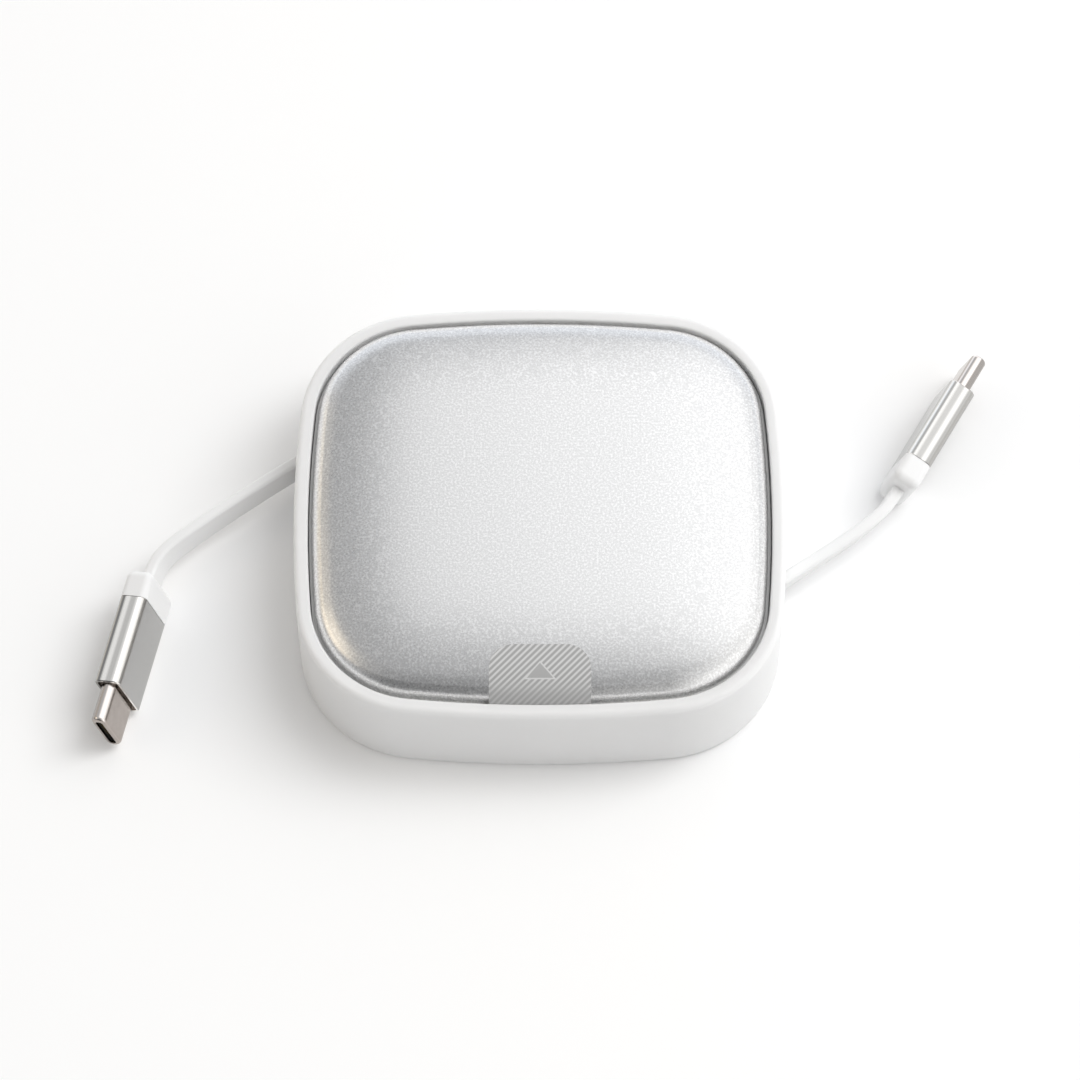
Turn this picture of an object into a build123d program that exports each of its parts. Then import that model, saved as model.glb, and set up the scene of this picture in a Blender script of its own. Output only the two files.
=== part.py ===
from build123d import *
import math
import os

# Retractable charging cable: a white case with an aluminium cover, a sprung reel inside
# and a flat cable that leaves both sides and ends in two small plugs.
# Millimetres, +Z up, origin under the middle of the case, +Y away from the viewer.

# Case outline: a square with bowed sides and wide corners
case_width = 72.0
case_depth = 67.0
side_radius = 188.0
corner_radius = 17.9

# Case tub
rim_height = 17.2
rim_width = 2.1
floor_thickness = 1.6
base_round = 0.8
rim_round = 0.9
rim_inner_round = 0.3
boss_radius = 2.6
boss_inset = 3.6
pilot_radius = 1.0
pilot_depth = 7.0
outlet_width = 3.6
outlet_height = 6.0
outlet_reach = 8.0

# Post and thrust ring that carry the reel
post_radius = 3.5
thrust_radius = 6.0
running_gap = 0.06
thrust_gap = 0.05
reel_lift = 0.33
slit_width = 0.7
slit_depth = 2.2

# Flat cable
cable_thickness = 1.8
cable_width = 4.0
cable_round = 0.55
cable_play = 0.2

# Reel
reel_clearance = 1.6
flange_thickness = 0.85
web_thickness = 1.0
hub_radius = 9.0
hub_wall = 1.2
sleeve_wall = 1.5
winding_margin = 2.8
drum_margin = 3.8
drum_wall = 1.2
cap_thickness = 1.6
cap_skirt = 1.0
cap_skirt_drop = 1.5
fit_gap = 0.05

# Mainspring: a flat strip wound in one plane, as wide as the drum leaves room for
spring_thickness = 0.35
spring_pitch = 1.9
spring_play = 0.2
spring_start_gap = 0.25

# Ball latch
ball_radius = 1.2
ball_gap = 0.05
track_radius = 15.0
track_width = 2.8
track_depth = 0.9
pocket_count = 8
pocket_shift = 2.2
guide_length = 6.0
guide_wall = 1.2

# Inner lid
lid_thickness = 1.4
lid_gap = 0.15
lid_clearance = 0.3
panel_rise = 3.22
panel_spread = 4.0
panel_wall = 1.4
lid_boss_radius = 4.2

# Screws
screw_shank_radius = 0.95
screw_hole_radius = 1.15
screw_head_radius = 1.8
screw_head_height = 0.7
screw_length = 7.0
counterbore_gap = 0.2

# Cover plate: a pressed aluminium pillow with a flat middle, broad shoulders, a bend and a round edge
cover_gap = 0.55
cover_wall = 1.0
cover_proud = 1.4
cover_round = 2.4
bend_round = 12.0
bend_width = 4.8
shoulder_drop = 1.4
middle_corner = 1.25
adhesive_thickness = 0.3
adhesive_inset = 0.5

# Printed pull tab of thin film
tab_width = 14.7
tab_reach = 10.39
tab_corner = 3.6
film_thickness = 0.12
tab_slope = 50.0
tab_gap = 0.03

# Plug
plug_side = 0.675
plug_cheek = 0.9
plug_corner = 1.1
plug_roll = 16.0
plug_lift = 0.05
sleeve_length = 14.2
tube_wall = 0.45
mouth_depth = 0.8
edge_chamfer = 0.12
collar_length = 4.5
collar_round = 1.3
spigot_length = 2.0
inner_gap = 0.03

# Connector at the plug's end
shell_width = 8.25
shell_thickness = 2.4
shell_reach = 6.0
shell_seat = 4.0
shell_wall = 0.28
shell_lip = 0.35
shell_round = 0.5
slot_side = 0.775
slot_cheek = 0.65
slot_depth = 5.0
insert_seat = 2.4
contact_count = 12
contact_pitch = 0.5
contact_width = 0.25
contact_thickness = 0.12
contact_length = 4.2
contact_setback = 0.4
board_width = 7.0
board_thickness = 0.6
board_length = 5.4

# Cable routes in plan, from the winding through the wall to the plug, chosen by hand
lead_a_route = [
    (-12.7, 24.95), (-20.5, 21.3), (-28.5, 17.4), (-36.0, 13.1), (-42.6, 8.45),
    (-48.2, 4.3), (-52.0, 1.3), (-54.9, -1.15), (-56.75, -3.7), (-57.4, -6.4),
]
lead_b_route = [
    (18.3, -21.2), (23.9, -15.93), (29.94, -10.68), (36.2, -5.7), (42.4, -1.45),
    (47.0, 2.0), (50.0, 4.55), (51.75, 6.6), (53.0, 8.77),
]
outlet_index = 3
bend_share = 0.45

# Place of the front side among the arcs of the outline
front_arc = 6

# Widths and radii worked out from the sizes above
cover_inset = rim_width + cover_gap
shoulder_width = corner_radius - cover_inset - middle_corner
half_room = min(case_width, case_depth) / 2
flange_radius = half_room - rim_width - reel_clearance
winding_radius = flange_radius - winding_margin
drum_radius = flange_radius - drum_margin
bore_radius = post_radius + running_gap
middle_radius = half_room - cover_inset - shoulder_width
panel_radius = middle_radius + panel_spread
plug_width = shell_width + 2 * plug_side
plug_thickness = shell_thickness + 2 * plug_cheek
slot_width = shell_width - 2 * slot_side
slot_height = shell_thickness - 2 * slot_cheek

# Heights from the floor up to the web, and from the rim down to the spring
flange_bottom = floor_thickness + reel_lift
flange_top = flange_bottom + flange_thickness
lead_height = flange_top + cable_play + cable_width / 2
web_bottom = lead_height + cable_width / 2 + cable_play
web_top = web_bottom + web_thickness
cover_edge = rim_height + cover_proud
ceiling_height = cover_edge + shoulder_drop - cover_wall
panel_top = ceiling_height - adhesive_thickness
lid_top = panel_top - panel_rise
lid_bottom = lid_top - lid_thickness
cap_top = lid_bottom - lid_clearance
drum_top = cap_top - cap_thickness
spring_width = drum_top - web_top - 2 * spring_play

# Height of a plug's axis when it lies on its rounded edge, rolled to its right
roll = math.radians(plug_roll)
plug_height = (
    (plug_width / 2 - plug_corner) * math.cos(roll)
    + (plug_thickness / 2 - plug_corner) * math.sin(roll)
    + plug_corner
    + plug_lift
)


def corner_centre():
    """Middle of the arc in the corner at +X +Y, tangent to both bowed sides."""
    p = side_radius - case_width / 2
    q = side_radius - case_depth / 2
    reach = side_radius - corner_radius
    slope = p / q
    shift = (p * p - q * q) / (2 * q)
    a = 1 + slope * slope
    b = 2 * (p + slope * shift)
    c = p * p + shift * shift - reach * reach
    x = (-b + math.sqrt(b * b - 4 * a * c)) / (2 * a)
    return Vector(x, slope * x + shift)


def outline_arcs(inset):
    """The case's outline, moved in by inset: right side, corner, back and so on, round to the left."""
    corner = corner_centre()
    radius = corner_radius - inset
    from_x = corner - Vector(case_width / 2 - side_radius, 0)
    from_y = corner - Vector(0, case_depth / 2 - side_radius)
    right = corner + from_x.normalized() * radius
    back = corner + from_y.normalized() * radius
    middle = corner + (right + back - corner * 2).normalized() * radius
    half_width = case_width / 2 - inset
    half_depth = case_depth / 2 - inset

    def turned(point, x, y):
        return (point.X * x, point.Y * y)

    arcs = []
    for x, y in ((1, 1), (-1, -1)):
        arcs += [
            ThreePointArc(turned(right, x, -y), (half_width * x, 0), turned(right, x, y)),
            ThreePointArc(turned(right, x, y), turned(middle, x, y), turned(back, x, y)),
            ThreePointArc(turned(back, x, y), (0, half_depth * y), turned(back, -x, y)),
            ThreePointArc(turned(back, -x, y), turned(middle, -x, y), turned(right, -x, y)),
        ]
    return arcs


def block(inset, low, high):
    """Upright solid on the case's outline."""
    return Pos(0, 0, low) * extrude(make_face(outline_arcs(inset)), amount=high - low)


def disc(radius, low, high):
    """Upright cylinder about the reel's axis."""
    standing = (Align.CENTER, Align.CENTER, Align.MIN)
    return Pos(0, 0, low) * Cylinder(radius, high - low, align=standing)


def ring(outer, inner, low, high):
    """Upright tube about the reel's axis."""
    return disc(outer, low, high) - disc(inner, low, high)


def cross_bar(near, far, across, low, high):
    """Upright bar that runs out from the reel's axis along X, from near to far."""
    bar = Box(abs(far - near), across, high - low)
    return Pos((near + far) / 2, 0, (low + high) / 2) * bar


def top_face(solid):
    return solid.faces().sort_by(Axis.Z)[-1]


def bottom_face(solid):
    return solid.faces().sort_by(Axis.Z)[0]


def boss_places():
    """The four corner screw places."""
    corner = corner_centre()
    out = (corner_radius - rim_width - boss_inset) * math.sqrt(0.5)
    x = corner.X + out
    y = corner.Y + out
    return [(x, y), (-x, y), (-x, -y), (x, -y)]


def outlet(route):
    """Upright round-ended slot that follows the cable through the wall."""
    place = route[outlet_index]
    before = route[outlet_index - 1]
    after = route[outlet_index + 1]
    along = (after[0] - before[0], after[1] - before[1], 0)
    across_wall = Plane((place[0], place[1], lead_height), x_dir=(0, 0, 1), z_dir=along)
    slot = across_wall * SlotOverall(outlet_height, outlet_width)
    return extrude(slot, amount=outlet_reach, both=True)


def case_tub():
    """White moulded tub: floor, wall and rim, post, thrust ring, screw bosses, cable outlets."""
    tub = block(0, 0, rim_height)
    tub = fillet(bottom_face(tub).edges(), base_round)
    tub = fillet(top_face(tub).edges(), rim_round)
    tub -= block(rim_width, floor_thickness, rim_height)
    tub = fillet(top_face(tub).inner_wires()[0].edges(), rim_inner_round)
    root = floor_thickness / 2
    tub += disc(post_radius, root, lid_bottom)
    tub += disc(thrust_radius, root, flange_bottom - thrust_gap)
    for x, y in boss_places():
        tub += Pos(x, y) * disc(boss_radius, root, lid_bottom)
        tub -= Pos(x, y) * disc(pilot_radius, lid_bottom - pilot_depth, lid_bottom)
    tub -= disc(pilot_radius, lid_bottom - pilot_depth, lid_bottom)
    tub -= cross_bar(post_radius - slit_depth, post_radius, slit_width, web_top, drum_top)
    return tub - outlet(lead_a_route) - outlet(lead_b_route)


def reel_spool():
    """Moulded spool: bearing sleeve, hub wall, web above the cable and open spring drum."""
    spool = disc(flange_radius, web_bottom, web_top)
    spool += ring(hub_radius, hub_radius - hub_wall, flange_top, web_bottom)
    spool += disc(bore_radius + sleeve_wall, flange_bottom, web_bottom)
    spool += ring(drum_radius, drum_radius - drum_wall, web_top, drum_top)
    spool -= disc(bore_radius, flange_bottom, drum_top)
    side = spring_end_side()
    inside = drum_radius - drum_wall - fit_gap
    return spool - cross_bar(side * inside, side * drum_radius, slit_width, web_top, drum_top)


def reel_flange():
    """Lower flange, located on the spool by a ring inside the hub wall."""
    spigot_outer = hub_radius - hub_wall - fit_gap
    spigot = ring(spigot_outer, spigot_outer - hub_wall, flange_top, flange_top + hub_wall)
    plate = ring(flange_radius, bore_radius + sleeve_wall + fit_gap, flange_bottom, flange_top)
    return plate + spigot


def reel_cap():
    """Cap over the spring drum, with the ball's track and lock pockets in its top."""
    outer = drum_radius + fit_gap + cap_skirt
    cap = ring(outer, bore_radius, drum_top, cap_top)
    cap += ring(outer, drum_radius + fit_gap, drum_top - cap_skirt_drop, drum_top)
    floor = cap_top - track_depth
    cap -= ring(track_radius + track_width / 2, track_radius - track_width / 2, floor, cap_top)
    pockets = PolarLocations(track_radius - pocket_shift, pocket_count)
    for place in pockets:
        cap -= place * disc(track_width / 2, floor, cap_top)
    return cap


def spring_half_turns():
    """Half turns of the spring that fit between the post and the drum wall."""
    room = drum_radius - drum_wall - post_radius - 2 * spring_start_gap - spring_thickness
    return int(room / (spring_pitch / 2))


def spring_end_side():
    """Side of the post on which the spring's outer end lies: 1 at +X, -1 at -X."""
    return -1 if spring_half_turns() % 2 else 1


def mainspring():
    """Flat spiral strip of half-turn arcs, its ends bent into the post and the drum wall."""
    half = spring_thickness / 2
    step = spring_pitch / 2
    first = post_radius + spring_start_gap + half
    outer_side = []
    inner_side = []
    for n in range(spring_half_turns()):
        middle = (step * (n % 2), 0)
        radius = first + n * step
        start = 180 * (n % 2)
        outer_side.append(CenterArc(middle, radius + half, start, 180))
        inner_side.append(CenterArc(middle, radius - half, start, 180))
    ends = [
        Line(inner_side[0] @ 0, outer_side[0] @ 0),
        Line(inner_side[-1] @ 1, outer_side[-1] @ 1),
    ]
    strip = make_face(outer_side + inner_side + ends)
    low = web_top + spring_play
    high = low + spring_width
    spring = Pos(0, 0, low) * extrude(strip, amount=spring_width)
    hook_tip = post_radius - slit_depth + spring_play
    spring += cross_bar(hook_tip, first + half, spring_thickness, low, high)
    strip_end = (inner_side[-1] @ 1).X
    drum_end = spring_end_side() * (drum_radius - fit_gap)
    return spring + cross_bar(strip_end, drum_end, spring_thickness, low, high)


def cable_winding():
    """The wound cable, its turns as one solid, inner end on the hub."""
    low = lead_height - cable_width / 2
    return ring(winding_radius, hub_radius + fit_gap, low, low + cable_width)


def latch_ball():
    """Steel ball, loose between its track in the cap and its guide in the lid."""
    height = cap_top - track_depth + ball_gap + ball_radius
    return Pos(0, track_radius, height) * Sphere(ball_radius)


def inner_lid():
    """Lid over the reel with a round raised panel, a post boss and the ball's guide."""
    lid = block(rim_width + lid_gap, lid_bottom, lid_top)
    lid += disc(panel_radius, lid_bottom, panel_top)
    ceiling = panel_top - panel_wall
    lid -= disc(panel_radius - panel_wall, lid_bottom, ceiling)
    lid += disc(lid_boss_radius, lid_bottom, panel_top)
    guide = Pos(0, track_radius - pocket_shift / 2, lid_bottom)
    guide_form = Rectangle(track_width + 2 * guide_wall, guide_length + 2 * guide_wall)
    guide_slot = Rot(0, 0, 90) * SlotOverall(guide_length, track_width)
    ball_top = cap_top - track_depth + 2 * (ball_gap + ball_radius)
    lid += guide * extrude(guide_form, amount=ceiling - lid_bottom)
    lid -= guide * extrude(guide_slot, amount=ball_top - lid_bottom)
    seat = screw_head_height
    for x, y in boss_places():
        lid -= Pos(x, y) * disc(screw_hole_radius, lid_bottom, lid_top)
        lid -= Pos(x, y) * disc(screw_head_radius + counterbore_gap, lid_top - seat, lid_top)
    lid -= disc(screw_hole_radius, lid_bottom, panel_top)
    lid -= disc(screw_head_radius + counterbore_gap, panel_top - seat, panel_top)
    return lid


def screw(head_top):
    """Pan-head screw standing on its point, head at the given height."""
    under = head_top - screw_head_height
    low = under - screw_length
    return disc(screw_head_radius, under, head_top) + disc(screw_shank_radius, low, under)


def lid_screws():
    return Compound([Pos(x, y) * screw(lid_top) for x, y in boss_places()])


def centre_screw():
    return screw(panel_top)


def cover_arcs(grow, start):
    """Round edge, from a start angle, bend and shoulder of the cover's half section, grown outward."""
    shoulder_radius = (shoulder_width**2 + shoulder_drop**2) / (2 * shoulder_drop)
    shoulder_middle = Vector(shoulder_width, cover_edge + shoulder_drop - shoulder_radius)
    bend_lean = math.degrees(math.acos((bend_width - shoulder_width) / shoulder_radius))
    bend_middle = shoulder_middle + Vector(shoulder_radius - bend_round, 0).rotate(Axis.Z, bend_lean)
    edge_lean = math.degrees(math.acos((cover_round - bend_middle.X) / (bend_round - cover_round)))
    edge_middle = bend_middle + Vector(bend_round - cover_round, 0).rotate(Axis.Z, edge_lean)
    return [
        CenterArc(edge_middle, cover_round + grow, start, edge_lean - start),
        CenterArc(bend_middle, bend_round + grow, edge_lean, bend_lean - edge_lean),
        CenterArc(shoulder_middle, shoulder_radius + grow, bend_lean, 90 - bend_lean),
    ]


def along_cover(half_section, sides):
    """Half section, x inward from the cover's side, swept along sides of its outline."""
    path = Wire(sides)
    along = path % 0
    start = Plane(path @ 0, x_dir=(-along.Y, along.X, 0), z_dir=along)
    return sweep(start * half_section, path=path)


def cover_form(grow):
    """Outer form of the cover, grown by a small amount: upright side, round edge, bend, shoulder."""
    arcs = cover_arcs(grow, 180)
    foot = (-grow, lid_top)
    inner_foot = (shoulder_width, lid_top)
    half_section = make_face([
        Line(foot, arcs[0] @ 0),
        *arcs,
        Line(arcs[-1] @ 1, inner_foot),
        Line(inner_foot, foot),
    ])
    form = along_cover(half_section, outline_arcs(cover_inset))
    return form + block(cover_inset + shoulder_width, lid_top, cover_edge + shoulder_drop + grow)


def cover_plate():
    """Pressed aluminium cover, open below, seated on the lid."""
    return cover_form(0) - cover_form(-cover_wall)


def cover_adhesive():
    """Round adhesive sheet between the lid's panel and the flat middle of the cover."""
    sheet_radius = middle_radius - adhesive_inset
    return ring(sheet_radius, screw_head_radius + counterbore_gap, panel_top, ceiling_height)


def pull_tab():
    """Film tab that lies on the cover, leaves its round edge and runs straight to the rim."""
    slope = math.radians(tab_slope)
    reach_to = tab_gap - cover_gap
    curves = []
    tips = []
    for grow in (0, film_thickness):
        arcs = cover_arcs(grow, 90 + tab_slope)
        leave = arcs[0] @ 0
        tip = Vector(reach_to, leave.Y - (leave.X - reach_to) * math.tan(slope))
        curves += [Line(tip, leave), *arcs]
        tips += [tip, arcs[-1] @ 1]
    half_section = make_face(curves + [Line(tips[0], tips[2]), Line(tips[1], tips[3])])
    front_side = outline_arcs(cover_inset)[front_arc]
    film = along_cover(half_section, [front_side])
    sheet = RectangleRounded(tab_width, 2 * tab_reach, tab_corner)
    return film & Pos(0, -case_depth / 2) * extrude(sheet, amount=2 * rim_height)


def lead_points(route):
    """The route in space: level as far as the outlet, then on to the height of the plug."""
    slope_end = len(route) - 2
    points = []
    for n, (x, y) in enumerate(route):
        share = (n - outlet_index) / (slope_end - outlet_index)
        share = min(max(share, 0), 1)
        points.append(Vector(x, y, lead_height + share * (plug_height - lead_height)))
    return points


def lead(route):
    """Flat cable on edge: straight runs and tangent arcs, each as wide as its runs allow."""
    points = lead_points(route)
    radii = []
    for before, here, after in zip(points, points[1:], points[2:]):
        turn = math.radians((here - before).get_angle(after - here))
        shorter = min((here - before).length, (after - here).length)
        radii.append(bend_share * shorter / math.tan(turn / 2))
    path = FilletPolyline(*points, radius=radii)
    along = (points[1] - points[0]).normalized()
    start = Plane(points[0], x_dir=(-along.Y, along.X, 0), z_dir=along)
    section = start * RectangleRounded(cable_thickness, cable_width, cable_round)
    cable = sweep(section, path=path)
    print("bend radii", [round(r, 1) for r in radii], "length", round(path.length, 2))
    print("volume", round(cable.volume, 2), "of", round(section.area * path.length, 2))
    return cable


def plug_seat(route):
    """Plane at a plug's seam: z along its axis to the tip, x across its thin way."""
    before, end = lead_points(route)[-2:]
    axis = (end - before).normalized()
    aside = Vector(axis.Y, -axis.X)
    thin = aside * math.cos(roll) - Vector(0, 0, math.sin(roll))
    return Plane(end + axis * collar_length, x_dir=thin, z_dir=axis)


def plug_block(inset, low, high):
    """Rounded bar on the plug's section, along its axis."""
    section = RectangleRounded(
        plug_thickness - 2 * inset, plug_width - 2 * inset, plug_corner - inset
    )
    return Pos(0, 0, low) * extrude(section, amount=high - low)


def round_ended(thick, wide, low, high):
    """Bar with round ends, wide across the plug."""
    section = Rot(0, 0, 90) * SlotOverall(wide, thick)
    return Pos(0, 0, low) * extrude(section, amount=high - low)


def flat_bar(thick, wide, low, high):
    """Square-edged bar along the plug's axis."""
    return Pos(0, 0, low) * extrude(Rectangle(thick, wide), amount=high - low)


def plug_sleeve():
    """Aluminium sleeve, open at both ends, its outer edges broken at the mouth and the seam."""
    bar = plug_block(0, 0, sleeve_length)
    rims = top_face(bar).edges() + bottom_face(bar).edges()
    return chamfer(rims, edge_chamfer) - plug_block(tube_wall, 0, sleeve_length)


def plug_collar():
    """White strain relief with a spigot inside the sleeve."""
    collar = fillet(bottom_face(plug_block(0, -collar_length, 0)).edges(), collar_round)
    return collar + plug_block(tube_wall + inner_gap, 0, spigot_length)


def plug_core():
    """Grey moulding inside the sleeve, with pockets for the connector and the board."""
    front = sleeve_length - mouth_depth
    core = plug_block(tube_wall + inner_gap, spigot_length, front)
    seat = front - shell_seat
    gap = 2 * inner_gap
    core -= round_ended(shell_thickness + gap, shell_width + gap, seat, front)
    return core - flat_bar(board_thickness + gap, board_width + gap, seat - board_length, seat)


def plug_shell():
    """Nickel-plated connector shell, drawn from one piece, with a slot in its end."""
    base = sleeve_length - mouth_depth - shell_seat
    tip = sleeve_length + shell_reach
    shell = round_ended(shell_thickness, shell_width, base, tip)
    shell = fillet(top_face(shell).edges(), shell_round)
    wall = 2 * shell_wall
    shell -= round_ended(shell_thickness - wall, shell_width - wall, base, tip - shell_lip)
    return shell - round_ended(slot_height, slot_width, tip - shell_lip, tip)


def plug_insert():
    """Dark insulator inside the shell, with the slot that takes the socket's tongue."""
    front = sleeve_length + shell_reach - shell_lip
    base = sleeve_length - mouth_depth - insert_seat
    wall = 2 * (shell_wall + inner_gap)
    body = round_ended(shell_thickness - wall, shell_width - wall, base, front)
    return body - round_ended(slot_height, slot_width, front - slot_depth, front)


def plug_contacts():
    """Two rows of spring contacts on the slot's two faces."""
    front = sleeve_length + shell_reach - shell_lip - contact_setback
    strip = flat_bar(contact_thickness, contact_width, front - contact_length, front)
    strips = []
    for side in (-1, 1):
        x = side * (slot_height - contact_thickness) / 2
        for n in range(contact_count):
            y = (n - (contact_count - 1) / 2) * contact_pitch
            strips.append(Pos(x, y) * strip)
    return Compound(strips)


def plug_board():
    """Small circuit board behind the connector."""
    seat = sleeve_length - mouth_depth - shell_seat
    return flat_bar(board_thickness, board_width, seat - board_length, seat)


os.makedirs("parts", exist_ok=True)

case_parts = {
    "case_tub": case_tub,
    "inner_lid": inner_lid,
    "lid_screws": lid_screws,
    "centre_screw": centre_screw,
    "latch_ball": latch_ball,
    "cover_adhesive": cover_adhesive,
    "cover_plate": cover_plate,
    "pull_tab": pull_tab,
    "reel_spool": reel_spool,
    "reel_flange": reel_flange,
    "reel_cap": reel_cap,
    "mainspring": mainspring,
    "cable_winding": cable_winding,
}
for name, make in case_parts.items():
    export_step(make(), f"parts/{name}.step")

plug_parts = {
    "sleeve": plug_sleeve(),
    "collar": plug_collar(),
    "core": plug_core(),
    "shell": plug_shell(),
    "insert": plug_insert(),
    "contacts": plug_contacts(),
    "board": plug_board(),
}
for side, route in (("a", lead_a_route), ("b", lead_b_route)):
    export_step(lead(route), f"parts/cable_lead_{side}.step")
    for name, solid in plug_parts.items():
        export_step(plug_seat(route) * solid, f"parts/plug_{side}_{name}.step")
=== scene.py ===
import math

import bmesh
import bpy
import numpy as np
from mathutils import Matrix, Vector
from mathutils.bvhtree import BVHTree
from mathutils.interpolate import poly_3d_calc


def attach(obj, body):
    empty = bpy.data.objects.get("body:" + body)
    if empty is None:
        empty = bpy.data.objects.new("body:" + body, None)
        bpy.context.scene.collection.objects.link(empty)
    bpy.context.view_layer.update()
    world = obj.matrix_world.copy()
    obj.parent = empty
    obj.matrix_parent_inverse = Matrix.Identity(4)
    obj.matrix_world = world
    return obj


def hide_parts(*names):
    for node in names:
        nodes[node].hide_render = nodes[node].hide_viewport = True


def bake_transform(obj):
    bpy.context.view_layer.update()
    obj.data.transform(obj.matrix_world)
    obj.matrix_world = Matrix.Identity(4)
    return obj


# Looks of a retractable charging cable: white case, blasted aluminium cover, printed film tab,
# flat white cable and two plugs with polished sleeves. Metres, +Z up, +Y away from the viewer.

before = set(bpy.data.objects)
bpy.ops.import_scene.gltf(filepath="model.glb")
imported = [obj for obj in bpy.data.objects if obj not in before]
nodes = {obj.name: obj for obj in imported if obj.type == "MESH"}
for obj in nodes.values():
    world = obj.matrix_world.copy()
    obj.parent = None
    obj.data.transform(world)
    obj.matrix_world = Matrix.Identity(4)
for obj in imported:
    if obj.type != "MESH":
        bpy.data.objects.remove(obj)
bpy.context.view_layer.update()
scene = bpy.context.scene
MM = 0.001
WHITE = (1, 1, 1, 1)

# Camera: a long lens that looks down at the case
CAMERA_DISTANCE = 747 * MM
CAMERA_ELEVATION = math.radians(63.73)
CAMERA_TARGET_Y = 3.33 * MM
CAMERA_LENS_MM = 166.67
SENSOR_MM = 36.0

# Flat cable, on edge. The routes are those of the solids, from above, in millimetres.
CABLE_THICKNESS = 1.8 * MM
CABLE_WIDTH = 4.0 * MM
CABLE_ROUND = 0.55 * MM
CABLE_HEIGHT = 4.98 * MM
LEAD_A_ROUTE = [
    (-12.7, 24.95), (-20.5, 21.3), (-28.5, 17.4), (-36.0, 13.1), (-42.6, 8.45),
    (-48.2, 4.3), (-52.0, 1.3), (-54.9, -1.15), (-56.75, -3.7), (-57.4, -6.4),
]
LEAD_B_ROUTE = [
    (18.3, -21.2), (23.9, -15.93), (29.94, -10.68), (36.2, -5.7), (42.4, -1.45),
    (47.0, 2.0), (50.0, 4.55), (51.75, 6.6), (53.0, 8.77),
]
LEAD_A_PLACES = dict(exit_place=(-34.0, 14.3), blend_start=(-28.5, 17.4), blend_end=(-50.0, 2.9))
LEAD_B_PLACES = dict(exit_place=(34.0, -7.45), blend_start=(27.0, -13.2), blend_end=(49.0, 3.6))
OUTLET_INDEX = 3
OUTLET_LEAN = math.radians(9.0)
PLUG_LEAN = math.radians(16.0)
ROUTE_STEPS = 16
ROUND_STEPS = 6

# The mainspring's hook ends between the post and the first turn
HOOK_END = 3.62 * MM
HOOK_HALF_WIDTH = 0.2 * MM

# The cover's shading: directions are smoothed on a grid, where the top is nearly level
COVER_HALF = 36 * MM
COVER_GRID = 1.0 * MM
COVER_CUT = 2.0 * MM
COVER_SOFT = 3.6 * MM
COVER_REACH = 3 * COVER_SOFT
COVER_STEEP = 0.90
COVER_BLEND = (0.945, 0.985)
ABOVE_COVER = 1.0

# Finishes: most of a noise lies in this span, and a bump has a strength and a depth
NOISE_SPAN = (0.3, 0.7)
TRUE_BUMP = (1.0, 1.0)

# Mouldings, and the depth to which light goes into the case
PLASTIC_CLOUD_SCALE = 90.0
PLASTIC_CLOUD_SHADE = 0.985
PLASTIC_GRAIN_SCALE = 9000.0
PLASTIC_GRAIN_BUMP = (0.06, 0.02 * MM)
PLASTIC_GLOSS_SPREAD = 0.05
MILKY_DEPTH = 1.4 * MM

# The cover's metal: a faint dome in the middle, and levels from grain to grain
COVER_DOME_RADIUS = 0.50
COVER_GRAIN_SCALE = 3300.0
COVER_GRAIN_ROUGH = 0.6
COVER_GRAIN_LEVELS = [(0.36, 0.755), (0.50, 0.82), (0.64, 1.0)]
COVER_GRAIN_BUMP = (0.10, 0.02 * MM)
COVER_ROUGHNESS = (0.27, 0.33)

# Plugs: painted highlights and painted shade in bands along the narrow sides, by share of the way
# across, and where the flat faces begin
SLEEVE_HALF = 2.1 * MM
SLEEVE_PAINTED_REFLECTIONS = [
    (0.0, 0.95), (0.25, 0.95), (0.36, 0.58), (0.49, 0.58),
    (0.57, 0.90), (0.67, 0.90), (0.75, 0.46), (1.0, 0.46),
]
SLEEVE_REFLECTION_TINT = (1.0, 0.985, 0.955)
SLEEVE_SLOPE = 0.25
SLEEVE_FLAT = (1.75 * MM, 2.05 * MM)
SLEEVE_FLAT_COLOURS = ((0.45, 0.445, 0.435), (0.50, 0.495, 0.485))
SLEEVE_GRAIN_SCALE = 5200.0
SLEEVE_GRAIN_BUMP = (0.03, 0.01 * MM)
SLEEVE_ROUGHNESS = (0.13, 0.20)
SHELL_HALF = 1.2 * MM
# Shell: a painted highlight band between painted shade along the round sides
SHELL_PAINTED_REFLECTIONS = [(0.0, 0.44), (0.12, 0.95), (0.52, 0.95), (0.62, 0.38), (1.0, 0.38)]
SHELL_REFLECTION_TINT = (1.0, 0.94, 0.90)
SHELL_FLAT = (0.95 * MM, 1.17 * MM)
SHELL_FLAT_COLOURS = ((0.41, 0.365, 0.335), (0.46, 0.415, 0.385))
SHELL_TIP = (0.5, 0.8)
SHELL_CLOUD_SCALE = 900.0
SHELL_ROUGHNESS = (0.13, 0.19)

# Steel and gold
METAL_CLOUD_SCALE = 1800.0
METAL_CLOUD_SHADE = 0.88
METAL_GLOSS_SPREAD = 0.06

# Printed tab: slanting stripes that fade toward the rim, and an arrow in outline
STRIPE_PITCH = 0.959 * MM
STRIPE_SLOPE = 1.06
STRIPE_FALL = 0.47
STRIPE_SHARE = 0.46
STRIPE_EDGE = 0.10
STRIPE_FADE = (-28.0 * MM, -30.5 * MM)
STRIPE_BUMP = (0.25, 0.03 * MM)
DARK_LEVELS = (0.345, 0.37)
LIGHT_LEVELS = (0.60, 0.49)
ARROW_TIP_Y = -25.78 * MM
ARROW_BASE_Y = -28.19 * MM
ARROW_HALF_WIDTH = 2.12 * MM
ARROW_LINE = 0.2 * MM
ARROW_LEVEL = 0.39
ARROW_LINE_LEVEL = 0.60
FILM_ROUGHNESS = 0.38

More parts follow.
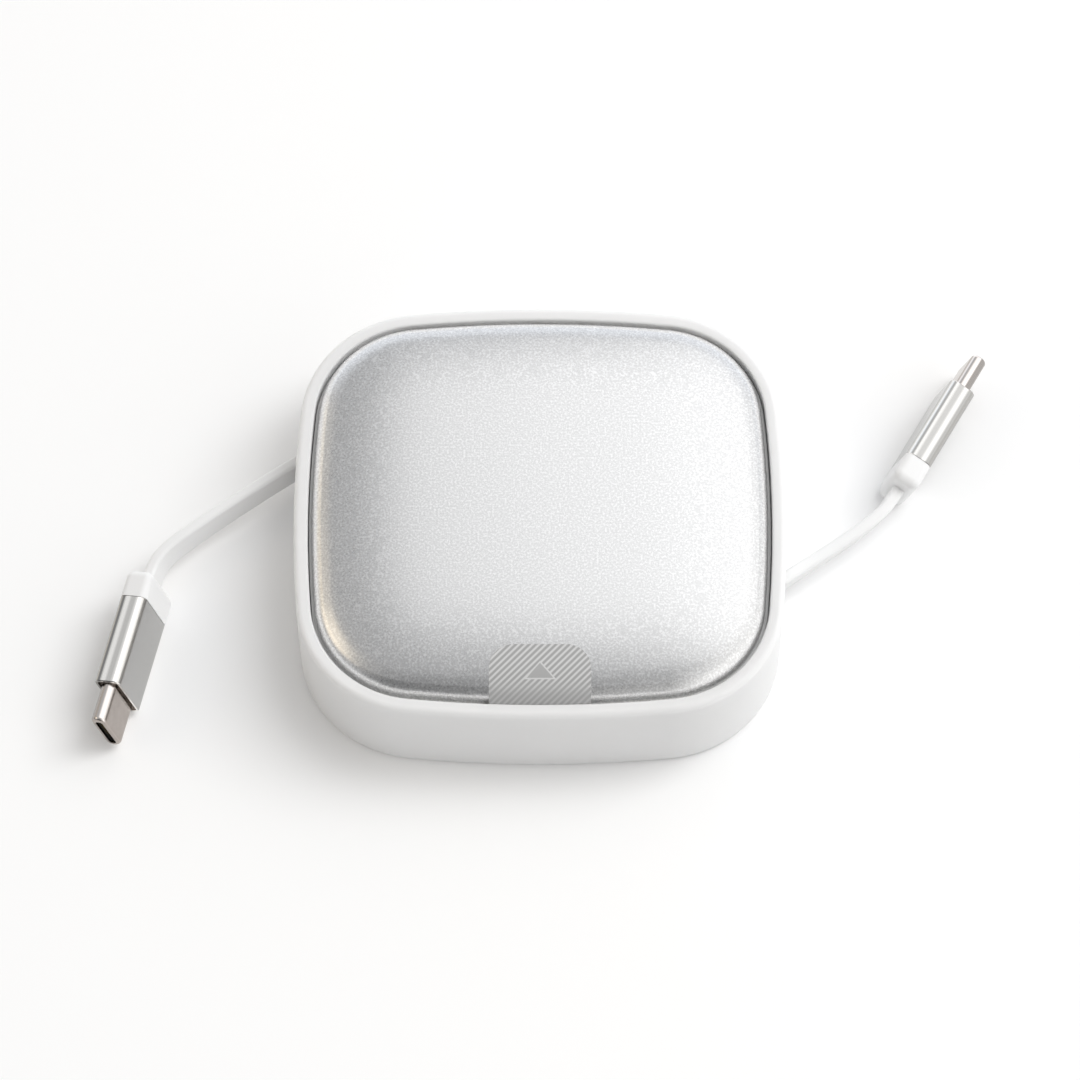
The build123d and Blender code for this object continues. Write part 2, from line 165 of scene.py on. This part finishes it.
# Studio
FLOOR_SIZE = 6.0
FLOOR_WHITE = 0.90
FLOOR_LIFT = 0.05
STUDIO_LEVEL = 0.80
ROOM = (0.500, 0.504, 0.512)
ROOM_BEHIND_VIEWER = (0.218, 0.220, 0.224)
BEHIND_VIEWER = dict(axis=(-0.119, -0.863, 0.491), edge=(0.70, 0.88))
HORIZON = (0.84, 0.89, 0.97)
HORIZON_HEIGHT = (0.60, 0.05)
HORIZON_SIDE = (0.2, 0.9)
SOFT_LIGHTS = [
    dict(axis=(0.326, 0.492, 0.807), edge=(0.770, 0.990), colour=(1.03, 1.03, 1.03)),
    dict(axis=(0.902, -0.398, 0.169), edge=(0.287, 1.0), colour=(0.93, 0.92, 0.895)),
    dict(axis=(-0.844, 0.0, 0.536), edge=(0.918, 0.991), colour=(1.25, 1.06, 0.78)),
    dict(axis=(-0.860, 0.440, 0.250), edge=(0.935, 0.99), colour=(0.36, 0.27, 0.13)),
]
KEY_LIGHT = dict(place=(0.444, 0.154, 0.768), size=0.35, size_y=0.69, watts=3.5)
FILL_LIGHT = dict(place=(-0.10, -0.90, 0.40), size=0.60, size_y=0.60, watts=0.6)


def put(name, data):
    """A new object in the scene."""
    made = bpy.data.objects.new(name, data)
    scene.collection.objects.link(made)
    return made


def make_camera():
    """Camera at the photograph's place: level, straight in front, looking down."""
    data = bpy.data.cameras.new("camera")
    data.sensor_width = SENSOR_MM
    data.lens = CAMERA_LENS_MM
    camera = put("camera", data)
    back = CAMERA_DISTANCE * math.cos(CAMERA_ELEVATION)
    camera.location = (0, CAMERA_TARGET_Y - back, CAMERA_DISTANCE * math.sin(CAMERA_ELEVATION))
    camera.rotation_euler = (math.pi / 2 - CAMERA_ELEVATION, 0, 0)
    scene.camera = camera


def route_line(name, points):
    """Points along a smooth line that has the route's points as its control points."""
    curve = bpy.data.curves.new(name, "CURVE")
    curve.dimensions = "3D"
    curve.resolution_u = ROUTE_STEPS
    spline = curve.splines.new("NURBS")
    spline.points.add(len(points) - 1)
    for control, point in zip(spline.points, points):
        control.co = (*point, 1)
    spline.order_u = 3
    spline.use_endpoint_u = True
    holder = bpy.data.objects.new(name, curve)
    mesh = bpy.data.meshes.new_from_object(holder)
    line = [v.co.copy() for v in mesh.vertices]
    bpy.data.meshes.remove(mesh)
    bpy.data.objects.remove(holder)
    return line


def rounded_section():
    """Corners of the cable's section, thin way first, round its edge."""
    half_thin = CABLE_THICKNESS / 2 - CABLE_ROUND
    half_wide = CABLE_WIDTH / 2 - CABLE_ROUND
    section = []
    for quarter, (x, y) in enumerate(((1, 1), (-1, 1), (-1, -1), (1, -1))):
        for step in range(ROUND_STEPS + 1):
            angle = math.pi / 2 * (quarter + step / ROUND_STEPS)
            section.append((
                x * half_thin + CABLE_ROUND * math.cos(angle),
                y * half_wide + CABLE_ROUND * math.sin(angle),
            ))
    return section


def mesh_object(name, verts, faces, smooth=True):
    """A new object with a mesh of its own."""
    mesh = bpy.data.meshes.new(name)
    mesh.from_pydata(verts, [], faces)
    mesh.validate()
    mesh.polygons.foreach_set("use_smooth", [smooth] * len(mesh.polygons))
    return put(name, mesh)


def cable_lean(travel, outlet, end):
    """How far the cable leans over after a length of travel: more at the outlet, most at the plug."""
    inside = travel / outlet
    outside = (travel - outlet) / (end - outlet)
    return OUTLET_LEAN * min(inside, 1) + (PLUG_LEAN - OUTLET_LEAN) * max(outside, 0)


def leaning(right, lean):
    """The thin and the wide way of a section that leans over to its right."""
    up = Vector((0, 0, 1))
    thin = right * math.cos(lean) - up * math.sin(lean)
    wide = right * math.sin(lean) + up * math.cos(lean)
    return thin, wide


def tube_faces(rings, count):
    """Faces between a tube's rings of corners, and one across each end."""
    faces = []
    for n in range(rings - 1):
        here, ahead = n * count, (n + 1) * count
        for k in range(count):
            after = (k + 1) % count
            faces.append((here + k, here + after, ahead + after, ahead + k))
    last = (rings - 1) * count
    faces.append(tuple(range(count)))
    faces.append(tuple(reversed(range(last, last + count))))
    return faces


def flat_cable(name, line, outlet):
    """Flat tube along the line that leans over to its right on the way from the winding to the plug."""
    section = rounded_section()
    travel = [0.0]
    for before, here in zip(line, line[1:]):
        travel.append(travel[-1] + (here - before).length)
    outlet_travel = min(zip(line, travel), key=lambda pair: (pair[0] - outlet).length)[1]
    verts = []
    for n, point in enumerate(line):
        ahead = line[min(n + 1, len(line) - 1)]
        behind = line[max(n - 1, 0)]
        along = (ahead - behind).normalized()
        right = Vector((along.y, -along.x, 0)).normalized()
        thin, wide = leaning(right, cable_lean(travel[n], outlet_travel, travel[-1]))
        verts += [point + thin * x + wide * y for x, y in section]
    return mesh_object(name, verts, tube_faces(len(line), len(section)))


def make_cable(side, route, exit_place, blend_start, blend_end):
    """One lead of the flat cable, from the winding to its plug."""
    points = [Vector((x * MM, y * MM, CABLE_HEIGHT)) for x, y in route]
    line = route_line("lead_line_" + side, points)
    cable = flat_cable("flat_cable_" + side, line, points[OUTLET_INDEX])
    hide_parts("cable_lead_" + side)
    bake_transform(cable)
    return cable


class Shader:
    """A material's node tree, with short calls for the nodes used here."""

    def __init__(self, name):
        self.material = bpy.data.materials.new(name)
        self.material.use_nodes = True
        self.tree = self.material.node_tree
        self.surface = self.tree.nodes["Principled BSDF"]

    @classmethod
    def of_world(cls, world):
        shader = cls.__new__(cls)
        shader.tree = world.node_tree
        shader.surface = world.node_tree.nodes["Background"]
        return shader

    def node(self, kind, **settings):
        made = self.tree.nodes.new(kind)
        for key, value in settings.items():
            setattr(made, key, value)
        return made

    def link(self, source, target):
        self.tree.links.new(source, target)

    def set(self, **sockets):
        for key, value in sockets.items():
            self.surface.inputs[key.replace("_", " ")].default_value = value

    def feed(self, source, socket):
        self.link(source, self.surface.inputs[socket])

    def place(self):
        return self.node("ShaderNodeTexCoord").outputs["Object"]

    def axes(self, vector):
        """The three numbers of a place or a direction."""
        made = self.node("ShaderNodeSeparateXYZ")
        self.link(vector, made.inputs[0])
        return made.outputs

    def math(self, operation, a, b=0.0):
        made = self.node("ShaderNodeMath", operation=operation)
        for socket, value in zip(made.inputs, (a, b)):
            if isinstance(value, (int, float)):
                socket.default_value = value
            else:
                self.link(value, socket)
        return made.outputs[0]

    def noise(self, scale, detail=2.0, rough=0.5):
        made = self.node("ShaderNodeTexNoise")
        made.inputs["Scale"].default_value = scale
        made.inputs["Detail"].default_value = detail
        made.inputs["Roughness"].default_value = rough
        self.link(self.place(), made.inputs["Vector"])
        return made.outputs["Fac"]

    def spread(self, source, low, high, span=NOISE_SPAN):
        """Low to high, in step with the source over its span."""
        made = self.node("ShaderNodeMapRange")
        for key, value in zip(("From Min", "From Max", "To Min", "To Max"), (*span, low, high)):
            made.inputs[key].default_value = value
        self.link(source, made.inputs["Value"])
        return made.outputs[0]

    def smooth(self, source, nought, one):
        """A soft step from 0 to 1 between two values of the source."""
        made = self.node("ShaderNodeMapRange", interpolation_type="SMOOTHSTEP")
        made.inputs["From Min"].default_value = nought
        made.inputs["From Max"].default_value = one
        self.link(source, made.inputs["Value"])
        return made.outputs[0]

    def ramp(self, source, stops):
        made = self.node("ShaderNodeValToRGB")
        elements = made.color_ramp.elements
        while len(elements) < len(stops):
            elements.new(0.5)
        for element, (position, colour) in zip(elements, stops):
            element.position = position
            element.color = (*colour, 1)
        self.link(source, made.inputs["Fac"])
        return made.outputs["Color"]

    def cloudy(self, noise, first, second):
        """A colour that drifts between two with the noise."""
        low, high = NOISE_SPAN
        return self.ramp(noise, [(low, first), (high, second)])

    def toward(self, direction, axis):
        """How far a place or direction goes along an axis."""
        made = self.node("ShaderNodeVectorMath", operation="DOT_PRODUCT")
        made.inputs[1].default_value = Vector(axis).normalized()
        self.link(direction, made.inputs[0])
        return made.outputs["Value"]

    def add(self, under, share, colour):
        """Colour, times a share, on top of what is under it."""
        made = self.node("ShaderNodeVectorMath", operation="MULTIPLY_ADD")
        made.inputs[0].default_value = colour
        self.link(share, made.inputs[1])
        self.link(under, made.inputs[2])
        return made.outputs[0]

    def mix(self, share, first, second):
        made = self.node("ShaderNodeMix", data_type="RGBA")
        self.link(share, made.inputs["Factor"])
        for socket, value in ((made.inputs[6], first), (made.inputs[7], second)):
            if isinstance(value, tuple):
                socket.default_value = (*value, 1)
            else:
                self.link(value, socket)
        return made.outputs[2]

    def bump(self, height, strength, depth, under=None):
        made = self.node("ShaderNodeBump")
        made.inputs["Strength"].default_value = strength
        made.inputs["Distance"].default_value = depth
        self.link(height, made.inputs["Height"])
        if under:
            self.link(under, made.inputs["Normal"])
        self.feed(made.outputs["Normal"], "Normal")
        return made.outputs["Normal"]


def grey(value):
    return (value, value, value)


def tinted(colour, amount):
    return tuple(c * amount for c in colour)


def moulded_plastic(name, colour, roughness, milky=0.0):
    """Satin moulding: slight cloudiness in the colour and a fine spark-eroded grain."""
    shader = Shader(name)
    shader.set(Subsurface_Weight=milky, Subsurface_Radius=(1, 1, 1), Subsurface_Scale=MILKY_DEPTH)
    cloud = shader.noise(PLASTIC_CLOUD_SCALE, detail=3.0)
    shader.feed(shader.cloudy(cloud, tinted(colour, PLASTIC_CLOUD_SHADE), colour), "Base Color")
    fine = shader.noise(PLASTIC_GRAIN_SCALE, detail=1.0)
    gloss = shader.spread(fine, roughness - PLASTIC_GLOSS_SPREAD, roughness + PLASTIC_GLOSS_SPREAD)
    shader.feed(gloss, "Roughness")
    shader.bump(fine, *PLASTIC_GRAIN_BUMP)
    return shader.material


def blasted_aluminium():
    """Fine blasted and anodised aluminium with a sparkle from grain to grain."""
    shader = Shader("blasted_aluminium")
    shader.set(Metallic=1.0)
    square = [shader.math("MULTIPLY", axis, axis) for axis in shader.axes(shader.place())[:2]]
    dome = shader.math("MULTIPLY", shader.math("ADD", *square), -0.5 / COVER_DOME_RADIUS)
    domed = shader.bump(dome, *TRUE_BUMP)
    grain = shader.noise(COVER_GRAIN_SCALE, rough=COVER_GRAIN_ROUGH)
    levels = [(place, grey(level)) for place, level in COVER_GRAIN_LEVELS]
    shader.feed(shader.ramp(grain, levels), "Base Color")
    shader.feed(shader.spread(grain, *COVER_ROUGHNESS), "Roughness")
    shader.bump(grain, *COVER_GRAIN_BUMP, under=domed)
    return shader.material


def film_stripes(shader, x, y, z):
    """1 on the film's slanting light lines and 0 between them."""
    along = shader.math("ADD", y, shader.math("MULTIPLY", z, STRIPE_FALL))
    slant = shader.math("SUBTRACT", x, shader.math("DIVIDE", along, STRIPE_SLOPE))
    phase = shader.math("FRACT", shader.math("DIVIDE", slant, STRIPE_PITCH))
    away = shader.math("ABSOLUTE", shader.math("SUBTRACT", phase, 0.5))
    half = STRIPE_SHARE / 2
    return shader.spread(away, 1.0, 0.0, span=(half - STRIPE_EDGE, half + STRIPE_EDGE))


def beyond_arrow(shader, x, y):
    """Distance outside the arrow's triangle, less than 0 inside it."""
    height = ARROW_TIP_Y - ARROW_BASE_Y
    side = math.hypot(height, ARROW_HALF_WIDTH)
    across = shader.math("MULTIPLY", shader.math("ABSOLUTE", x), height / side)
    down = shader.math("MULTIPLY", shader.math("SUBTRACT", y, ARROW_TIP_Y), ARROW_HALF_WIDTH / side)
    beyond_side = shader.math("ADD", across, down)
    beyond_base = shader.math("SUBTRACT", ARROW_BASE_Y, y)
    return shader.math("MAXIMUM", beyond_side, beyond_base)


def printed_film():
    """Thin film with slanting light lines and a plain arrow in a thin light outline."""
    shader = Shader("printed_film")
    x, y, z = shader.axes(shader.place())
    stripe = film_stripes(shader, x, y, z)
    beyond = beyond_arrow(shader, x, y)
    inside = shader.math("LESS_THAN", beyond, 0.0)
    outline = shader.math("LESS_THAN", shader.math("ABSOLUTE", beyond), ARROW_LINE / 2)
    at_rim = shader.smooth(y, *STRIPE_FADE)
    dark, light = (shader.mix(at_rim, *map(grey, levels)) for levels in (DARK_LEVELS, LIGHT_LEVELS))
    field = shader.mix(stripe, dark, light)
    field = shader.mix(inside, field, grey(ARROW_LEVEL))
    shader.feed(shader.mix(outline, field, grey(ARROW_LINE_LEVEL)), "Base Color")
    shader.set(Roughness=FILM_ROUGHNESS)
    shader.bump(stripe, *STRIPE_BUMP)
    return shader.material


def plug_axis(route):
    """A plug's way along, which is that of its cable's end."""
    (x0, y0), (x1, y1) = route[-2:]
    return Vector((x1 - x0, y1 - y0, 0))


def plug_across(shader, route):
    """Distance across a plug's thin way, from its middle."""
    along = plug_axis(route)
    thin, _ = leaning(Vector((along.y, -along.x, 0)).normalized(), PLUG_LEAN)
    x, y = route[-1]
    middle = thin.dot(Vector((x * MM, y * MM, CABLE_HEIGHT)))
    return shader.math("SUBTRACT", shader.toward(shader.place(), thin), middle)


def painted_reflection_bands(shader, across, half, painted_bands, reflection_tint):
    """Painted highlights and painted shade in bands along a plug's narrow sides."""
    share = shader.spread(across, 0.0, 1.0, span=(-half, half))
    return shader.ramp(share, [(place, tinted(reflection_tint, level)) for place, level in painted_bands])


def polished_aluminium(side, route):
    """Polished tube of one plug, with painted highlights and painted shade in bands along its narrow
    sides, which slope a little.
    """
    shader = Shader("polished_aluminium_" + side)
    shader.set(Metallic=1.0)
    across = plug_across(shader, route)
    fine = shader.noise(SLEEVE_GRAIN_SCALE)
    flat = shader.cloudy(fine, *SLEEVE_FLAT_COLOURS)
    # the narrow sides' colour is painted highlights and painted shade; the flat faces keep the metal's
    # own colour
    narrow_painted_reflections = painted_reflection_bands(shader, across, SLEEVE_HALF, SLEEVE_PAINTED_REFLECTIONS, SLEEVE_REFLECTION_TINT)
    on_flat = shader.smooth(shader.math("ABSOLUTE", across), *SLEEVE_FLAT)
    shader.feed(shader.mix(on_flat, narrow_painted_reflections, flat), "Base Color")
    shader.feed(shader.spread(fine, *SLEEVE_ROUGHNESS), "Roughness")
    sloped = shader.bump(shader.math("MULTIPLY", across, SLEEVE_SLOPE), *TRUE_BUMP)
    shader.bump(fine, *SLEEVE_GRAIN_BUMP, under=sloped)
    return shader.material


def nickel_plate(side, route):
    """Warm nickel over drawn steel, with a painted highlight band between painted shade along the
    shell's round sides.
    """
    shader = Shader("nickel_plate_" + side)
    shader.set(Metallic=1.0)
    across = plug_across(shader, route)
    cloud = shader.noise(SHELL_CLOUD_SCALE, detail=3.0)
    flat = shader.cloudy(cloud, *SHELL_FLAT_COLOURS)
    # the round sides' colour is a painted highlight between painted shade; the flat faces and the tip
    # keep the nickel's own colour
    narrow_painted_reflections = painted_reflection_bands(shader, across, SHELL_HALF, SHELL_PAINTED_REFLECTIONS, SHELL_REFLECTION_TINT)
    on_flat = shader.smooth(shader.math("ABSOLUTE", across), *SHELL_FLAT)
    facing = shader.node("ShaderNodeTexCoord").outputs["Normal"]
    on_tip = shader.smooth(shader.toward(facing, plug_axis(route)), *SHELL_TIP)
    plain = shader.math("MAXIMUM", on_flat, on_tip)
    shader.feed(shader.mix(plain, narrow_painted_reflections, flat), "Base Color")
    shader.feed(shader.spread(cloud, *SHELL_ROUGHNESS), "Roughness")
    return shader.material


def plain_metal(name, colour, roughness):
    """Metal with a fine cloud in its colour and gloss."""
    shader = Shader(name)
    shader.set(Metallic=1.0)
    cloud = shader.noise(METAL_CLOUD_SCALE)
    shader.feed(shader.cloudy(cloud, tinted(colour, METAL_CLOUD_SHADE), colour), "Base Color")
    gloss = shader.spread(cloud, roughness - METAL_GLOSS_SPREAD, roughness + METAL_GLOSS_SPREAD)
    shader.feed(gloss, "Roughness")
    return shader.material


def dress(node, material):
    """Gives a node its finish."""
    mesh = nodes[node].data
    mesh.materials.clear()
    mesh.materials.append(material)


def cut(form, place, direction):
    """Cuts all of a form's faces along a plane."""
    whole = form.verts[:] + form.edges[:] + form.faces[:]
    bmesh.ops.bisect_plane(form, geom=whole, plane_co=place, plane_no=direction)


def spring_piece(name, body, is_hook):
    """The mainspring's hook, which stays in the post, or its coil, which turns with the reel."""
    mesh = nodes["mainspring"].data.copy()
    form = bmesh.new()
    form.from_mesh(mesh)
    cut(form, (HOOK_END, 0, 0), (1, 0, 0))
    left_out = []
    for face in form.faces:
        middle = face.calc_center_median()
        in_hook = 0 < middle.x < HOOK_END and abs(middle.y) < HOOK_HALF_WIDTH
        if in_hook != is_hook:
            left_out.append(face)
    bmesh.ops.delete(form, geom=left_out, context="FACES")
    form.to_mesh(mesh)
    form.free()
    piece = put(name, mesh)
    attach(piece, body)
    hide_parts("mainspring")


class SoftNormals:
    """Directions that the cover's top faces, smoothed over a few millimetres."""

    def __init__(self, mesh):
        self.mesh = mesh
        places = [v.co for v in mesh.vertices]
        self.tree = BVHTree.FromPolygons(places, [p.vertices[:] for p in mesh.polygons])
        self.facing = [c.vector.copy() for c in mesh.corner_normals]
        self.field = self.level_directions()
        reach = np.arange(-COVER_REACH, COVER_REACH + COVER_GRID / 2, COVER_GRID)
        weights = np.exp(-0.5 * (reach / COVER_SOFT) ** 2)
        for axis in (0, 1):
            self.field = np.apply_along_axis(np.convolve, axis, self.field, weights, "same")

    def level_directions(self):
        """The cover's own directions on a grid, and nought where it is steep or has ended."""
        steps = np.arange(-COVER_HALF, COVER_HALF + COVER_GRID / 2, COVER_GRID)
        field = np.zeros((len(steps), len(steps), 3))
        for i, x in enumerate(steps):
            for j, y in enumerate(steps):
                place, _, index, _ = self.tree.ray_cast((x, y, ABOVE_COVER), (0, 0, -1))
                if place is None:
                    continue
                normal = self.exact(index, place)
                if normal.z > COVER_STEEP:
                    field[i, j] = normal
        return field

    def exact(self, index, place):
        """The cover's own direction at a place on one of its faces."""
        polygon = self.mesh.polygons[index]
        shares = poly_3d_calc([self.mesh.vertices[v].co for v in polygon.vertices], place)
        total = Vector((0, 0, 0))
        for share, corner in zip(shares, polygon.loop_indices):
            total += share * self.facing[corner]
        return total.normalized()

    def smooth(self, place):
        """The smoothed direction over a place."""
        u, v = ((c + COVER_HALF) / COVER_GRID for c in place[:2])
        i, j = int(u), int(v)
        near = self.field[i, j] * (i + 1 - u) + self.field[i + 1, j] * (u - i)
        far = self.field[i, j + 1] * (i + 1 - u) + self.field[i + 1, j + 1] * (u - i)
        return Vector(near * (j + 1 - v) + far * (v - j)).normalized()

    def at(self, index, place):
        """The direction to shade with: smoothed on the top, and the cover's own on its edges."""
        own = self.exact(index, place)
        low, high = COVER_BLEND
        share = min(max((own.z - low) / (high - low), 0), 1)
        return own.lerp(self.smooth(place), share).normalized() if share else own


def cut_finer(mesh):
    """The cover's mesh again, cut along a grid of lines from above."""
    form = bmesh.new()
    form.from_mesh(mesh)
    count = round(COVER_HALF / COVER_CUT)
    for axis in ((1, 0, 0), (0, 1, 0)):
        for n in range(-count, count + 1):
            cut(form, Vector(axis) * (n * COVER_CUT), axis)
    finer = bpy.data.meshes.new("cover")
    form.to_mesh(finer)
    form.free()
    return finer


def soft_cover(material):
    """The cover in its own form, cut finer, so that its shoulders start softly."""
    normals = SoftNormals(nodes["cover_plate"].data)
    mesh = cut_finer(normals.mesh)
    facing = [None] * len(mesh.loops)
    for polygon in mesh.polygons:
        index = normals.tree.find_nearest(polygon.center)[2]
        for corner, vertex in zip(polygon.loop_indices, polygon.vertices):
            facing[corner] = normals.at(index, mesh.vertices[vertex].co)
    mesh.polygons.foreach_set("use_smooth", [True] * len(mesh.polygons))
    mesh.normals_split_custom_set(facing)
    mesh.materials.append(material)
    piece = put("cover", mesh)
    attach(piece, "case")
    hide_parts("cover_plate")


def make_stage():
    """White floor that keeps the object's shadow."""
    half = FLOOR_SIZE / 2
    corners = [(-half, -half, 0), (half, -half, 0), (half, half, 0), (-half, half, 0)]
    floor = mesh_object("floor", corners, [(0, 1, 2, 3)], smooth=False)
    shader = Shader("floor_white")
    shader.set(Base_Color=(*grey(FLOOR_WHITE), 1), Roughness=1.0, Specular_IOR_Level=0.0)
    shader.set(Emission_Color=WHITE)
    path = shader.node("ShaderNodeLightPath").outputs
    seen = shader.math("MAXIMUM", path["Is Camera Ray"], path["Is Glossy Ray"])
    seen = shader.math("MAXIMUM", seen, path["Is Transmission Ray"])
    shader.feed(shader.math("MULTIPLY", seen, FLOOR_LIFT), "Emission Strength")
    floor.data.materials.append(shader.material)


def soft_lamp(name, place, size, size_y, watts):
    """Soft lamp aimed at the object; the metal mirrors the studio's lights instead of it."""
    data = bpy.data.lights.new(name, "AREA")
    data.shape = "RECTANGLE"
    data.size = size
    data.size_y = size_y
    data.energy = watts
    lamp = put(name, data)
    lamp.location = place
    lamp.rotation_euler = Vector(place).to_track_quat("Z", "Y").to_euler()
    lamp.visible_glossy = False


def studio_light(shader):
    """Light from each direction: a dim room, a bright horizon at the back, and soft lights."""
    direction = shader.node("ShaderNodeTexCoord").outputs["Generated"]
    _, away, height = shader.axes(direction)
    behind = shader.smooth(shader.toward(direction, BEHIND_VIEWER["axis"]), *BEHIND_VIEWER["edge"])
    light = shader.mix(behind, ROOM, ROOM_BEHIND_VIEWER)
    low = shader.smooth(height, *HORIZON_HEIGHT)
    at_back = shader.smooth(away, *HORIZON_SIDE)
    light = shader.add(light, shader.math("MULTIPLY", low, at_back), HORIZON)
    for lamp in SOFT_LIGHTS:
        share = shader.smooth(shader.toward(direction, lamp["axis"]), *lamp["edge"])
        light = shader.add(light, share, lamp["colour"])
    return light


def make_world():
    """Studio that lights the object and that the metal mirrors; the camera sees plain white."""
    world = bpy.data.worlds.new("studio")
    world.use_nodes = True
    shader = Shader.of_world(world)
    shader.feed(studio_light(shader), "Color")
    shader.set(Strength=STUDIO_LEVEL)
    white = shader.node("ShaderNodeBackground")
    white.inputs["Color"].default_value = WHITE
    path = shader.node("ShaderNodeLightPath").outputs
    chosen = shader.node("ShaderNodeMixShader")
    shader.link(path["Is Camera Ray"], chosen.inputs[0])
    shader.link(shader.surface.outputs[0], chosen.inputs[1])
    shader.link(white.outputs[0], chosen.inputs[2])
    shader.link(chosen.outputs[0], shader.tree.nodes["World Output"].inputs["Surface"])
    scene.world = world


make_camera()
cable_a = make_cable("a", LEAD_A_ROUTE, **LEAD_A_PLACES)
cable_b = make_cable("b", LEAD_B_ROUTE, **LEAD_B_PLACES)

case_plastic = moulded_plastic("case_plastic", grey(0.79), roughness=0.42, milky=1.0)
collar_plastic = moulded_plastic("collar_plastic", grey(0.84), roughness=0.40)
cable_jacket = moulded_plastic("cable_jacket", grey(0.84), roughness=0.45)
reel_plastic = moulded_plastic("reel_plastic", (0.82, 0.82, 0.81), roughness=0.45)
core_plastic = moulded_plastic("core_plastic", (0.74, 0.68, 0.65), roughness=0.5)
insert_plastic = moulded_plastic("insert_plastic", grey(0.03), roughness=0.45)
board_lacquer = moulded_plastic("board_lacquer", (0.05, 0.28, 0.14), roughness=0.35)
tape = moulded_plastic("tape", (0.85, 0.84, 0.80), roughness=0.7)
steel = plain_metal("steel", grey(0.60), roughness=0.32)
gold = plain_metal("gold", (0.86, 0.66, 0.32), roughness=0.25)

dress("case_tub", case_plastic)
cover_metal = blasted_aluminium()
dress("cover_plate", cover_metal)
soft_cover(cover_metal)
dress("pull_tab", printed_film())
dress("cover_adhesive", tape)
for node in ("inner_lid", "reel_spool", "reel_flange", "reel_cap"):
    dress(node, reel_plastic)
for node in ("lid_screws", "centre_screw", "latch_ball", "mainspring"):
    dress(node, steel)
spring_piece("spring_hook", "case", True)
spring_piece("spring_coil", "reel", False)
dress("cable_winding", cable_jacket)
for side, cable, route in (("a", cable_a, LEAD_A_ROUTE), ("b", cable_b, LEAD_B_ROUTE)):
    cable.data.materials.append(cable_jacket)
    dress(f"plug_{side}_sleeve", polished_aluminium(side, route))
    dress(f"plug_{side}_collar", collar_plastic)
    dress(f"plug_{side}_core", core_plastic)
    dress(f"plug_{side}_shell", nickel_plate(side, route))
    dress(f"plug_{side}_insert", insert_plastic)
    dress(f"plug_{side}_contacts", gold)
    dress(f"plug_{side}_board", board_lacquer)

make_stage()
make_world()
soft_lamp("key", **KEY_LIGHT)
soft_lamp("fill", **FILL_LIGHT)

scene.view_settings.view_transform = "Standard"
